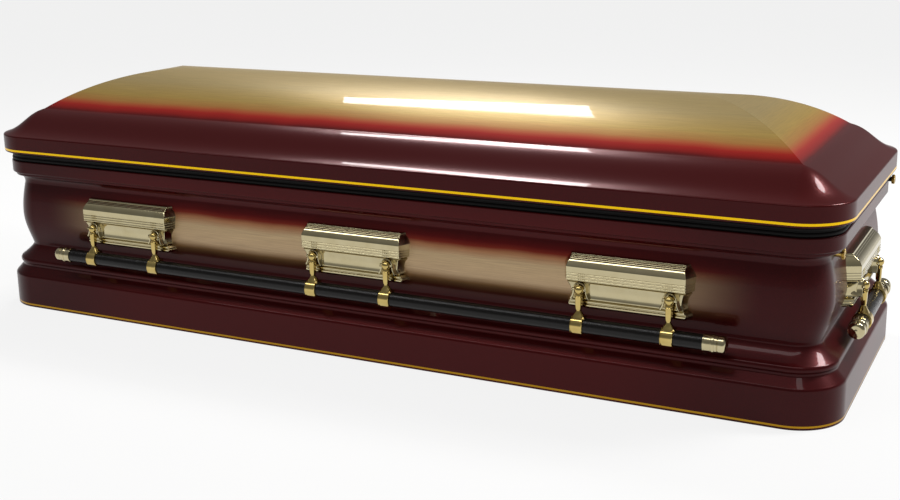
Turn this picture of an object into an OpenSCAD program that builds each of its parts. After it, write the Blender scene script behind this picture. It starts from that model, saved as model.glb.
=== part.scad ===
// Full-length metal casket: moulded sheet-steel body, dome lid with mitred panels,
// and a swinging carrying bar on each of its four sides.
// Millimetres, +Z up. The origin is the middle of the flat underside and +X runs along the casket.
// A moulding is drawn as [inset, z] points: inset is how far it lies inside the upright face of the
// rim and plinth, so the same outline serves the long sides, the ends and the round corners.

/* [Overall] */
// Length over the lid rim and the plinth
casket_l = 2134; // [1500:1:2400]
// Width over the lid rim and the plinth
casket_w = 728; // [560:1:900]
// Thickness of the formed steel sheet
sheet_t = 1.2; // [0.8:0.1:2.4]
// Thickness of the bottom pan
floor_t = 1.6; // [1:0.1:3]

/* [Plinth] */
// Height of the upright plinth face
plinth_h = 78; // [60:1:110]
// Radius of the plinth's upper edge
plinth_edge_r = 9; // [3:0.5:12]
// Height of the bevel above the plinth
bevel_h = 25; // [20:1:40]
// Inset at the top of the bevel
bevel_inset = 20; // [14:0.5:26]
// Radius of the half-round bead above the bevel
bead_r = 9; // [6:0.5:12]
// Inset of the bead's outermost line
bead_inset = 15; // [12:0.5:18]

/* [Body panels] */
// Rise from the bead to the waist
waist_rise = 29; // [22:1:40]
// Inset of the waist, the narrowest line of the body
waist_inset = 50; // [44:0.5:58]
// Rise from the waist to the fullest line of the belly
belly_rise = 84; // [64:1:104]
// Inset of the belly at its fullest
belly_inset = 30.5; // [26:0.5:36]
// Rise from the belly to the neck under the flange
neck_rise = 81; // [66:1:100]
// Inset of the neck
neck_inset = 42; // [36:0.5:50]
// Height of the hollow cove over the neck
cove_h = 20; // [14:1:26]
// Inset of the small step between the cove and the flange
step_inset = 23; // [19:0.5:27]
// Height of that step
step_h = 8; // [6:0.5:12]

/* [Flange and gasket] */
// Height of the upright flange that carries the gasket
flange_h = 32; // [24:1:44]
// Inset of the flange face
flange_inset = 15; // [10:0.5:18]
// Width of the flat ledge on top of the flange
ledge_w = 37; // [34:0.5:50]
// Depth of the lip turned down along the mouth
lip_h = 22; // [12:1:34]
// Height of the pressed gasket
gasket_h = 22; // [14:1:28]
// How far the gasket stands back from the flange face
gasket_setback = 1.5; // [0.5:0.5:5]
// Width of the gasket
gasket_w = 17; // [10:0.5:18]

/* [Lid] */
// Height of the lid's upright rim
rim_h = 44; // [34:1:56]
// Radius of the rim's upper edge
rim_edge_r = 4; // [2:0.5:6]
// How far the hem under the rim reaches past the gasket
hem_margin = 4.5; // [2:0.5:12]
// Rise of the ogee from the rim to the crown
ogee_rise = 58; // [44:1:72]
// How strongly the ogee eases flat at its foot and head
ogee_ease = 0.45; // [0:0.05:0.8]
// Width of the ogee, which is also the plan radius of the casket's corners
corner_r = 106; // [88:1:128]
// Rise of the arched crown panels
crown_rise = 86; // [64:1:110]

/* [Ears] */
// Half width of an ear at its fluted face
ear_hw = 126; // [118:1:152]
// How far the fluted face stands out from the belly
ear_depth = 26; // [25:0.5:30]
// Wall of the hollow casting
ear_t = 3; // [2:0.25:5]
// Spacing of the three ears along a long side
ear_pitch = 641; // [440:1:760]
// Distance of each arm from the middle of its ear
arm_x = 95; // [80:1:100]

/* [Handles] */
// Radius of the carrying bars
bar_r = 16; // [12:0.5:18]
// Wall of the bar tube
bar_t = 1.5; // [1:0.1:3]
// How far the long bars reach past their outermost arms
long_overhang = 120; // [80:1:200]
// How far the end bars reach past their arms
end_overhang = 85; // [70:1:110]
// Free height between the bead of the body and the straps
bar_clear = 10; // [5:0.5:20]
// Distance from the pivot down to the bar's axis
arm_drop = 75; // [66:1:80]
// Radius of the ball at the head of each arm
ball_r = 10.5; // [9:0.5:10.5]
// Radius of the pivot pins
pin_r = 3; // [2:0.25:4]
// Radial clearance of a pivot pin in its arm
pin_clearance = 0.08; // [0.02:0.01:0.1]
// Radius of an arm's shank
shank_r = 6; // [4.5:0.25:7]
// Width of the strap that holds the bar
strap_w = 27; // [20:1:34]
// Wall of the strap
strap_t = 4; // [3:0.25:5]
// Length of a bar tip
tip_l = 48; // [36:1:60]
// Wall of a bar tip round the bar
tip_t = 1.6; // [1.2:0.1:3]
// Thickness of a bar tip beyond the end of the bar
tip_end = 12; // [8:0.5:20]

/* [End fittings] */
// Radius of the two knurled caps on the foot end
cap_r = 10.5; // [8:0.5:10.5]
// Distance of both caps from the start of the round corners
cap_setback = 19; // [12:1:60]

/* [Hidden] */
$fn = 96;
eps = 0.01;
half_l = casket_l / 2;
half_w = casket_w / 2;

bevel_z = plinth_h + bevel_h;
bead_z = bevel_z + bead_r + 4;
waist_z = bead_z + bead_r + waist_rise;
belly_z = waist_z + belly_rise;
neck_z = belly_z + neck_rise;
step_z = neck_z + cove_h;
flange_z = step_z + step_h;
body_top = flange_z + flange_h;
rim_z = body_top + gasket_h;
rim_top = rim_z + rim_h;
crown_z = rim_top + ogee_rise;
lid_top = crown_z + crown_rise;
mouth_inset = flange_inset + ledge_w;
gasket_inset = flange_inset + gasket_setback;
hem_w = gasket_inset + gasket_w + hem_margin;

crown_half = half_w - corner_r;
crown_r = (crown_half * crown_half + crown_rise * crown_rise) / (2 * crown_rise);
crown_steps = 14;

fit_gap = 0.1;
strap_r = bar_r + fit_gap + strap_t;
bar_z = bead_z + bead_r + bar_clear + strap_r;
pivot_z = bar_z + arm_drop;
face_inset = belly_inset - ear_depth;
pivot_inset = face_inset + 7 - ball_r;
ear_up = 70;
ear_down = 42;
cheek_gap = 0.4;
cheek_t = 4;
cheek_r = 9.5;
cap_y = half_w - corner_r - cap_setback;

// The four sides, in the order of their quarter turns about +Z
SIDES = ["front", "right", "back", "left"];
function side_index(side) = search([side], SIDES)[0];
function side_angle(side) = 90 * side_index(side);
function side_reach(side) = side_index(side) % 2 == 0 ? half_w : half_l;
function long_side(side) = side_index(side) % 2 == 0;
function ear_places(side) = long_side(side) ? [-ear_pitch, 0, ear_pitch] : [0];
function arm_places(side) = [for (e = ear_places(side), s = [-1, 1]) e + s * arm_x];
function bar_hl(side) = long_side(side) ? ear_pitch + arm_x + long_overhang : arm_x + end_overhang;

// ---- curves, as lists of [inset, z] points ----

function arc(middle, radii, from, to, steps) =
    [for (i = [0:steps]) let (a = from + (to - from) * i / steps)
        [middle[0] + radii[0] * cos(a), middle[1] + radii[1] * sin(a)]];

function bend(start, knee, end, steps) =
    [for (i = [1:steps]) let (t = i / steps)
        (1 - t) * (1 - t) * start + 2 * t * (1 - t) * knee + t * t * end];

// The fullest part of the body, from the waist up to the neck
belly_curve = concat(
    [for (i = [1:10]) let (u = i / 10)
        [waist_inset - (waist_inset - belly_inset) * pow(sin(90 * u), 1.15), waist_z + belly_rise * u]],
    [for (i = [1:8]) let (u = i / 8)
        [belly_inset + (neck_inset - belly_inset) * (1 - cos(90 * u)), belly_z + neck_rise * u]]
);

bead_head = arc([bead_inset + bead_r, bead_z], [bead_r, bead_r], 235, 115, 8);

body_outline = concat(
    [[0, 0]],
    arc([plinth_edge_r, plinth_h], [plinth_edge_r, plinth_edge_r], 180, 130, 5),
    [[bevel_inset, bevel_z]],
    bead_head,
    bend(bead_head[8], [waist_inset - 3, waist_z - 10], [waist_inset, waist_z], 6),
    belly_curve,
    arc([step_inset + 3, neck_z], [neck_inset - step_inset - 3, cove_h], 15, 90, 6),
    arc([step_inset + 3, step_z + 3], [3, 3], 240, 180, 3),
    [[step_inset, flange_z]],
    arc([flange_inset + 4, flange_z + 4], [4, 4], 270, 180, 4),
    arc([flange_inset + 3, body_top - 3], [3, 3], 180, 90, 3),
    [[mouth_inset, body_top]]
);

// Two half-round ribs, one over the other
rib_r = gasket_h / 4;
gasket_outline = concat(
    [[gasket_inset + rib_r / 2, body_top]],
    [for (k = [0, 1]) each arc([gasket_inset + rib_r, body_top + rib_r * (2 * k + 1)], [rib_r, rib_r], 240, 120, 5)],
    [[gasket_inset + rib_r / 2, rim_z]]
);

function ogee_z(inset) = let (u = inset / corner_r)
    rim_top + ogee_rise * (u - ogee_ease * sin(360 * u) / (2 * PI));

lid_outline = concat(
    [[0, rim_z]],
    arc([rim_edge_r, ogee_z(rim_edge_r) - rim_edge_r], [rim_edge_r, rim_edge_r], 180, 105, 4),
    [for (i = [1:14]) let (d = rim_edge_r + (corner_r - rim_edge_r) * i / 14) [d, ogee_z(d)]]
);

// A path moved inwards by the thickness of the sheet, mitred at each point
function unit(v) = v / norm(v);
function inner_normal(a, b) = let (d = unit(b - a)) [d[1], -d[0]];
function inset_path(path, t) = let (last = len(path) - 1)
    [for (i = [0:last]) let (
        before = inner_normal(path[max(i - 1, 0)], path[max(i, 1)]),
        after = inner_normal(path[min(i, last - 1)], path[min(i + 1, last)]),
        mid = unit(before + after))
        path[i] + mid * t / (mid * after)];

body_inside = inset_path(body_outline, sheet_t);
lid_inside = inset_path(lid_outline, sheet_t);

// The wall behind the ears, as z to inset
wall_table = [for (p = concat([[waist_inset, waist_z]], belly_curve)) [p[1], p[0]]];
function wall_inset(z) = lookup(z, wall_table);

// ---- solids that follow the plan of the casket ----

function across(path, half) = concat(
    [for (p = path) [half - p[0], p[1]]],
    [for (i = [len(path) - 1:-1:0]) [path[i][0] - half, path[i][1]]]
);

// Everything inside a moulding: two crossing prisms and four turned corners
module plan_solid(path) {
    foot = path[0];
    head = path[len(path) - 1];
    turned = concat(
        [for (p = path) [max(0, corner_r - p[0]), p[1]]],
        head[0] < corner_r ? [[0, head[1]]] : [],
        [[0, foot[1]]]
    );
    rotate([90, 0, 90])
        linear_extrude(casket_l - 2 * corner_r, center = true) polygon(across(path, half_w));
    rotate([90, 0, 0])
        linear_extrude(casket_w - 2 * corner_r, center = true) polygon(across(path, half_l));
    for (a = [0:3])
        translate([(a == 0 || a == 3 ? 1 : -1) * (half_l - corner_r), (a < 2 ? 1 : -1) * (half_w - corner_r), 0])
            rotate([0, 0, 90 * a]) rotate_extrude(angle = 90) polygon(turned);
}

module plan_prism(inset, z0, z1) {
    plan_solid([[inset, z0], [inset, z1]]);
}

// Puts a child that faces -Y, with y = 0 in the rim plane, on one side of the casket
module on_side(side) {
    rotate([0, 0, side_angle(side)]) translate([0, -side_reach(side), 0]) children();
}

module along_x(length) {
    rotate([90, 0, 90]) linear_extrude(length, center = true) children();
}

module rod_x(radius, length) {
    rotate([0, 90, 0]) cylinder(r = radius, h = length, center = true);
}

// ---- body ----

module body_shell() {
    last = len(body_inside) - 1;
    cavity = concat([[body_inside[0][0], floor_t]], [for (i = [1:last]) body_inside[i]]);
    color("#45131a") {
        difference() {
            plan_solid(body_outline);
            plan_solid(cavity);
            plan_prism(mouth_inset, body_top - 2 * sheet_t, body_top + 1);
        }
        difference() {
            plan_prism(mouth_inset - sheet_t, body_top - lip_h, body_top);
            plan_prism(mouth_inset, body_top - lip_h - 1, body_top + 1);
        }
    }
}

module gasket() {
    color("#161616") difference() {
        plan_solid(gasket_outline);
        plan_prism(gasket_inset + gasket_w, body_top - 1, rim_z + 1);
    }
}

// ---- lid ----

// Four arched panels that meet in 45 degree mitres
module crown(r, half) {
    from = acos(half / r);
    cz = lid_top - crown_r;
    ridge = half_l - half_w;
    intersection() {
        along_x(casket_l) polygon(concat(
            arc([0, cz], [r, r], from, 180 - from, 2 * crown_steps),
            [[-half, rim_top], [half, rim_top]]));
        rotate([90, 0, 0]) linear_extrude(casket_w, center = true) polygon(concat(
            arc([ridge, cz], [r, r], from, 90, crown_steps),
            arc([-ridge, cz], [r, r], 90, 180 - from, crown_steps),
            [[-ridge - half, rim_top], [ridge + half, rim_top]]));
    }
}

module lid() {
    last = len(lid_inside) - 1;
    cavity = concat([[lid_inside[0][0], rim_z + sheet_t]], [for (i = [1:last]) lid_inside[i]]);
    color("#5a1a20") difference() {
        union() {
            plan_solid(lid_outline);
            crown(crown_r, crown_half);
        }
        union() {
            plan_solid(cavity);
            crown(crown_r - sheet_t, crown_half * (1 - sheet_t / crown_r));
        }
        plan_prism(hem_w, rim_z - 1, rim_z + 2 * sheet_t);
    }
}

// ---- ears ----

// Side view of an ear: ledge, bevel, fluted face, cove and foot in front, the wall's own curve behind
function ear_section() = let (
    f = face_inset,
    p = pivot_z,
    flute = function (top) [[f, top], [f + 1.5, top - 1], [f + 1.5, top - 2], [f, top - 3]],
    back = [for (q = belly_curve) if (q[1] > p - ear_down + 1 && q[1] < p + ear_up - 1) q])
    concat(
        [[wall_inset(p + ear_up), p + ear_up], [f + 20, p + ear_up], [f + 20, p + 66], [f + 16, p + 66],
         [f + 15, p + 63], [f + 2.5, p + 50], [f, p + 47]],
        [for (k = [0:2]) each flute(p + 36 - 5 * k)],
        [[f, p + 21], [f + 5, p + 20], [f + 5, p + 18.5], [f + 3.5, p + 18]],
        bend([f + 3.5, p + 18], [f + 12.5, p], [f + 7, p - 18], 8),
        [[f + 7, p - 21], [f + 18, p - 21.5], [f + 18, p - 24.5], [f + 13, p - 25], [f + 11.5, p - 27],
         [f + 11.5, p - 30], [f + 14, p - 31.5], [f + 14, p - 33], [f + 12, p - 34.5], [f + 12, p - 38],
         [f + 15, p - ear_down], [wall_inset(p - ear_down), p - ear_down]],
        back);

// The hollow behind an ear's face, open towards the wall
function ear_hollow() = let (f = face_inset + ear_t, p = pivot_z, deep = neck_inset + 20)
    [[deep, p + 62], [f + 16, p + 62], [f + 2, p + 46], [f + 2, p + 24], [f + 6, p + 21], [f + 6, p + 16],
     [f + 9, p + 6], [f + 9, p - 8], [f + 8, p - 17], [deep, p - 17]];

// Front view of one half of an ear
function ear_half() = let (w = ear_hw, p = pivot_z)
    concat(
        [[w - 5, p + ear_up], [w - 4, p + 62], [w, p + 50], [w, p + 20]],
        bend([w, p + 20], [w - 9, p + 6], [w - 11, p - 20], 6),
        [[w - 1, p - 31], [w - 1, p - 36], [w - 4, p - ear_down]]);

module ear(side, i) {
    x = ear_places(side)[i - 1];
    half = ear_half();
    other = [for (k = [len(half) - 1:-1:0]) [-half[k][0], half[k][1]]];
    color("#d8cfae") on_side(side) translate([x, 0, 0]) {
        difference() {
            intersection() {
                along_x(2 * ear_hw) polygon(ear_section());
                rotate([90, 0, 0]) linear_extrude(4 * ear_up, center = true) polygon(concat(half, other));
            }
            along_x(2 * (ear_hw - 11 - ear_t)) polygon(ear_hollow());
        }
        for (s = [-1, 1]) translate([s * arm_x, pivot_inset, pivot_z]) {
            rod_x(pin_r, 2 * (ball_r + cheek_gap) + cheek_t);
            for (c = [-1, 1]) translate([c * (ball_r + cheek_gap + cheek_t / 2), 0, 0]) along_x(cheek_t) {
                circle(r = cheek_r);
                translate([0, 1 - cheek_r]) square([face_inset + 11 - pivot_inset, 2 * cheek_r - 2]);
            }
        }
    }
}

// ---- handles ----

module arm(side, i) {
    x = arm_places(side)[i - 1];
    flare_z = strap_r + 8;
    color("#d8cfae") on_side(side) translate([x, pivot_inset, pivot_z]) difference() {
        union() {
            sphere(r = ball_r);
            translate([0, 0, -ball_r - 3]) cylinder(r1 = shank_r + 1.5, r2 = shank_r, h = 4);
            translate([0, 0, -arm_drop + flare_z - eps])
                cylinder(r1 = shank_r - 0.8, r2 = shank_r, h = arm_drop - flare_z - ball_r / 2);
            translate([0, 0, -arm_drop + bar_r]) cylinder(r1 = strap_w / 2 - 2, r2 = shank_r - 0.8, h = flare_z - bar_r);
            translate([0, 0, -arm_drop]) rod_x(strap_r, strap_w);
            translate([0, 0, -arm_drop + strap_r]) rod_x(2.6, strap_w + 4);
        }
        rod_x(pin_r + pin_clearance, 3 * ball_r);
        translate([0, 0, -arm_drop]) rod_x(bar_r + fit_gap, 2 * strap_w);
    }
}

module bar(side) {
    color("#1c1a18") on_side(side) translate([0, pivot_inset, bar_z]) difference() {
        rod_x(bar_r, 2 * (bar_hl(side) - tip_end));
        rod_x(bar_r - bar_t, 2 * bar_hl(side));
    }
}

// Plated cap with a raised band, turned round the bar's axis
module tip(side, i) {
    r = bar_r + fit_gap + tip_t;
    body = concat(
        [[0, 0], [r, 0], [r + 0.8, 1.5], [r, 3], [r, tip_l * 0.36]],
        arc([r, tip_l * 0.42], [1.6, tip_l * 0.06], -90, 90, 6),
        [[r, tip_l * 0.62], [r - 1, tip_l * 0.64], [r, tip_l * 0.66]],
        arc([r - 7, tip_l - 7], [7, 7], 0, 90, 6),
        [[0, tip_l]]);
    color("#d8cfae") on_side(side)
        translate([0, pivot_inset, bar_z]) rotate([0, i == 1 ? -90 : 90, 0]) translate([0, 0, bar_hl(side) - tip_l])
            difference() {
                rotate_extrude() polygon(body);
                translate([0, 0, -1]) cylinder(r = bar_r + fit_gap, h = tip_l - tip_end + 1);
            }
}

// ---- fittings on the foot end ----

// Knurled cap on a short neck, turned round +X from the wall at x = 0
module knurled_cap(neck_l, neck_r, disc_l) {
    teeth = 24;
    rotate([0, 90, 0]) {
        cylinder(r = neck_r, h = neck_l);
        translate([0, 0, neck_l]) cylinder(r = cap_r - 1, h = disc_l);
        translate([0, 0, neck_l + 1]) for (k = [0:teeth - 1]) rotate([0, 0, k * 360 / teeth])
            translate([cap_r - 2, -0.8, 0]) cube([2, 1.6, disc_l - 2]);
    }
}

// Its neck follows the cove that it comes out of
module record_tube_cap() {
    color("#c9a94a") translate([0, -cap_y, 0]) difference() {
        translate([half_l - neck_inset, 0, step_z - cove_h / 2]) knurled_cap(15, 7, 7);
        rotate([90, 0, 0]) linear_extrude(4 * cap_r, center = true) polygon(across(body_outline, half_l));
    }
}

// Its neck comes out between the flange and the lid, through the gasket's lower rib
module lock_plug() {
    color("#c9a94a") translate([0, cap_y, 0]) difference() {
        translate([half_l - gasket_inset - 3, 0, body_top + 6]) knurled_cap(14, 5.5, 7);
        translate([0, 5 * cap_r, 0]) rotate([90, 0, 0]) linear_extrude(10 * cap_r) polygon(across(gasket_outline, half_l));
    }
}

body_shell();
gasket();
lid();
record_tube_cap();
lock_plug();
for (s = SIDES) {
    bar(s);
    for (i = [1:len(ear_places(s))]) ear(s, i);
    for (i = [1, 2]) tip(s, i);
    for (i = [1:len(arm_places(s))]) arm(s, i);
}
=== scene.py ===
import bpy
import math
from mathutils import Matrix, Vector


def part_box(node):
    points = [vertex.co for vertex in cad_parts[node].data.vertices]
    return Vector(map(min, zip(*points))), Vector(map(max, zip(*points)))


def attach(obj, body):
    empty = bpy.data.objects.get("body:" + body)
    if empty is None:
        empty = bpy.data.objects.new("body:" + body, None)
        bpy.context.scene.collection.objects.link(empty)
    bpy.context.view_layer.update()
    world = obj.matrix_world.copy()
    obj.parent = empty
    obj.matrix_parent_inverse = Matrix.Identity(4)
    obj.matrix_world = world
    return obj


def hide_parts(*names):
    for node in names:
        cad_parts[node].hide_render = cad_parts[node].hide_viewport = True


# Full-length metal casket. Metres in the scene, millimetres in the settings below.
# +X runs along the casket, +Z is up, and the casket stands on z = 0.

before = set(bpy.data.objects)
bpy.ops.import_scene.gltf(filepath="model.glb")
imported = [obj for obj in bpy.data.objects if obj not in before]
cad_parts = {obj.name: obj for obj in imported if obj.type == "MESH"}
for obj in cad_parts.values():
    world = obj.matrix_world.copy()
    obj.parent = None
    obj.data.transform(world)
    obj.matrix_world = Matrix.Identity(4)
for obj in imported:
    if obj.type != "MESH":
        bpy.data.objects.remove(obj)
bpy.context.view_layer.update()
print("frame loaded:", len(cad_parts), "nodes")

mm = 0.001


# ---- camera ----

camera = {
    "place": (1.4400, -2.6866, 0.9867),
    "yaw": 26.302, "pitch": 13.353, "roll": -0.752,
    "lens": 50.88, "sensor": 36.0,
    "shift": (-0.0174, -0.0434), "clip": (0.05, 200),
}


def placeCamera(settings):
    yaw, pitch, roll = (math.radians(settings[k]) for k in ("yaw", "pitch", "roll"))
    forward = Vector((-math.sin(yaw) * math.cos(pitch), math.cos(yaw) * math.cos(pitch), -math.sin(pitch)))
    level = Vector((math.cos(yaw), math.sin(yaw), 0))
    upright = level.cross(forward)
    right = level * math.cos(roll) + upright * math.sin(roll)
    up = upright * math.cos(roll) - level * math.sin(roll)
    data = bpy.data.cameras.new("viewCamera")
    data.lens, data.sensor_width = settings["lens"], settings["sensor"]
    data.shift_x, data.shift_y = settings["shift"]
    data.clip_start, data.clip_end = settings["clip"]
    eye = bpy.data.objects.new("viewCamera", data)
    bpy.context.scene.collection.objects.link(eye)
    turn = Matrix((right, up, -forward)).transposed()
    eye.matrix_world = Matrix.Translation(settings["place"]) @ turn.to_4x4()
    bpy.context.scene.camera = eye


placeCamera(camera)


# ---- materials ----

# sRGB hex to the linear colour that the shaders take
def hexColor(code):
    channels = [int(code[i:i + 2], 16) / 255 for i in (1, 3, 5)]
    return tuple(c / 12.92 if c <= 0.04045 else ((c + 0.055) / 1.055) ** 2.4 for c in channels) + (1.0,)


# Adds a node, with its settings by property or socket and its links by socket
def addNode(tree, kind, settings=None, links=None):
    node = tree.nodes.new(kind)
    for name, value in (settings or {}).items():
        if isinstance(name, str) and hasattr(node, name):
            setattr(node, name, value)
        else:
            node.inputs[name].default_value = value
    for name, source in (links or {}).items():
        tree.links.new(source, node.inputs[name])
    return node


def newMaterial(name):
    material = bpy.data.materials.new(name)
    material.use_nodes = True
    tree = material.node_tree
    tree.nodes.clear()
    place = addNode(tree, "ShaderNodeTexCoord")
    out = addNode(tree, "ShaderNodeOutputMaterial")
    return material, tree, place.outputs["Object"], out.inputs["Surface"]


# Sets a ramp to stops of (share, hex colour or grey)
def fillRamp(ramp, stops):
    elements = ramp.color_ramp.elements
    while len(elements) < len(stops):
        elements.new(0.5)
    for element, (at, color) in zip(elements, stops):
        element.position = at
        element.color = hexColor(color) if isinstance(color, str) else (color, color, color, 1)


plan = {
    "halfLength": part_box("lid")[1].x / mm, "halfWidth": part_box("lid")[1].y / mm,
    "cornerRadius": 106, "cornerSteps": 18,
}

lacquer = {
    # the plinth's gold line is drawn darker than the rim's, as painted shade near the floor
    "maroon": "#350708", "flake": "#450c0f", "pinstripe": "#f4c406", "plinthStripeInShade": "#a87c10",
    # colour of the spray from the foot of the crown inwards, by millimetres
    "crownSpray": [(-10, "#400809"), (0, "#4c0b0b"), (9, "#7e1410"), (19, "#921e16"), (28, "#9a4426"),
                   (40, "#936733"), (64, "#8f763c"), (130, "#87754c")],
    # colour of the spray up the body, by millimetres above the floor
    "bodySpray": [(168, "#4a0c0d"), (188, "#4f2318"), (206, "#856340"), (222, "#b09675"), (262, "#b99f7a"),
                  (280, "#a87450"), (289, "#7c281b"), (299, "#600f0e"), (314, "#4a0a0c")],
    # how much brushed gold shows along each spray
    "crownGold": [(0.2, 0.0), (0.45, 1.0)],
    "bodyGold": [(0.12, 0.0), (0.34, 1.0), (0.72, 1.0), (0.9, 0.0)],
    "cornerFadeAndShade": (150, 500),      # the sprayed panel fades out between these distances from a corner; the fade is drawn wide, as painted shade that darkens the gold toward each end
    "wander": 12,                   # the edge of the hand spray strays by half of this each way
    "lidStripe": (406, 411), "bodyStripe": (5, 9),
    # each pair is for plain lacquer and for brushed gold
    "lidMetal": (0.3, 0.3), "bodyMetal": (0.3, 0.8), "roughness": (0.3, 0.38), "stripeMetal": 0.9,
    "specular": 0.05, "coat": 0.18, "coatRoughness": 0.015, "coatIor": 1.5,
    "peelSize": 35, "peelDepth": 2, "peelStrength": 0.05,   # orange peel of the clear coat
    "flakeSize": 1.6,               # real flake is under 0.1 mm, drawn coarser so that it shows
    "brushWidth": 1.1, "brushLength": 90,   # real scratches are 0.2 mm wide, drawn coarser
    "brushTone": (0.78, 1.16),      # darkest and lightest brush mark
}


# Metallic maroon lacquer, sprayed over brushed champagne base, under a thick clear coat.
# The eye gets mirror-like lamps, a dark red body colour and a soft red edge where the gold begins.
def lacquerMaterial(name, spray, isLid):
    material, tree, place, surface = newMaterial(name)
    low, high = spray[0][0], spray[-1][0]
    axes = addNode(tree, "ShaderNodeSeparateXYZ", links={0: place})
    toSide = []
    for axis, half in (("X", plan["halfLength"]), ("Y", plan["halfWidth"])):
        size = addNode(tree, "ShaderNodeMath", {"operation": "ABSOLUTE"}, {0: axes.outputs[axis]})
        toSide.append(addNode(tree, "ShaderNodeMath", {"operation": "SUBTRACT", 0: half * mm},
                              {1: size.outputs[0]}))
    inset = addNode(tree, "ShaderNodeMath", {"operation": "MINIMUM"},
                    {0: toSide[0].outputs[0], 1: toSide[1].outputs[0]})
    onEnd = addNode(tree, "ShaderNodeMath", {"operation": "LESS_THAN"},
                    {0: toSide[0].outputs[0], 1: toSide[1].outputs[0]})
    # brushing runs along each panel, in X on the long sides and in Y on the ends
    grains = []
    for along in (0, 1):
        scale = [1 / (lacquer["brushWidth"] * mm)] * 3
        scale[along] = 1 / (lacquer["brushLength"] * mm)
        stretch = addNode(tree, "ShaderNodeMapping", {"Scale": scale}, {"Vector": place})
        grains.append(addNode(tree, "ShaderNodeTexNoise", {"Scale": 1, "Detail": 4, "Roughness": 0.7},
                              {"Vector": stretch.outputs[0]}))
    grain = addNode(tree, "ShaderNodeMix", {"data_type": "FLOAT"},
                    {0: onEnd.outputs[0], 2: grains[0].outputs[0], 3: grains[1].outputs[0]})
    drift = addNode(tree, "ShaderNodeTexNoise", {"Scale": 6, "Detail": 2}, {"Vector": place})
    wander = addNode(tree, "ShaderNodeMath",
                     {"operation": "MULTIPLY_ADD", 1: lacquer["wander"] * mm, 2: -lacquer["wander"] / 2 * mm},
                     {0: drift.outputs[0]})
    if isLid:
        start = addNode(tree, "ShaderNodeMath", {"operation": "SUBTRACT", 1: plan["cornerRadius"] * mm},
                        {0: inset.outputs[0]})
        level = start.outputs[0]
    else:
        level = axes.outputs["Z"]
    level = addNode(tree, "ShaderNodeMath", {"operation": "ADD"}, {0: level, 1: wander.outputs[0]})
    share = addNode(tree, "ShaderNodeMapRange", {"From Min": low * mm, "From Max": high * mm},
                    {"Value": level.outputs[0]})
    colors = addNode(tree, "ShaderNodeValToRGB", links={0: share.outputs[0]})
    fillRamp(colors, [((at - low) / (high - low), code) for at, code in spray])
    # how much of the brushed gold shows, for metal and roughness
    gold = addNode(tree, "ShaderNodeValToRGB", links={0: share.outputs[0]})
    if isLid:
        fillRamp(gold, lacquer["crownGold"])
        shown = gold.outputs[0]
    else:
        fillRamp(gold, lacquer["bodyGold"])
        # the gold gives way to maroon towards each corner: partly the real end of the sprayed panel, partly
        # painted shade drawn wide toward the ends
        farthest = addNode(tree, "ShaderNodeMath", {"operation": "MAXIMUM"},
                           {0: toSide[0].outputs[0], 1: toSide[1].outputs[0]})
        away = addNode(tree, "ShaderNodeMapRange",
                       {"interpolation_type": "SMOOTHSTEP", "From Min": lacquer["cornerFadeAndShade"][0] * mm,
                        "From Max": lacquer["cornerFadeAndShade"][1] * mm}, {"Value": farthest.outputs[0]})
        both = addNode(tree, "ShaderNodeMath", {"operation": "MULTIPLY"},
                       {0: gold.outputs[0], 1: away.outputs[0]})
        shown = both.outputs[0]
    flakeScale = 1 / (lacquer["flakeSize"] * mm)
    flakes = addNode(tree, "ShaderNodeTexVoronoi", {"Scale": flakeScale}, {"Vector": place})
    flakeShare = addNode(tree, "ShaderNodeMath", {"operation": "MULTIPLY", 1: 0.5},
                         {0: flakes.outputs["Color"]})
    maroon = addNode(tree, "ShaderNodeMix", {"data_type": "RGBA", 6: hexColor(lacquer["maroon"]),
                                             7: hexColor(lacquer["flake"])}, {0: flakeShare.outputs[0]})
    if isLid:
        sprayed = colors.outputs[0]
    else:
        sprayed = addNode(tree, "ShaderNodeMix", {"data_type": "RGBA"},
                          {0: away.outputs[0], 6: maroon.outputs[2], 7: colors.outputs[0]}).outputs[2]
    # brush marks lighten and darken the gold only
    dark, light = lacquer["brushTone"]
    marks = addNode(tree, "ShaderNodeMapRange",
                    {"From Min": 0.3, "From Max": 0.7, "To Min": dark, "To Max": light},
                    {"Value": grain.outputs[0]})
    marksShown = addNode(tree, "ShaderNodeMix", {"data_type": "FLOAT", 2: 1.0}, {0: shown, 3: marks.outputs[0]})
    brushed = addNode(tree, "ShaderNodeVectorMath", {"operation": "SCALE"},
                      {0: sprayed, "Scale": marksShown.outputs[0]})
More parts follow.
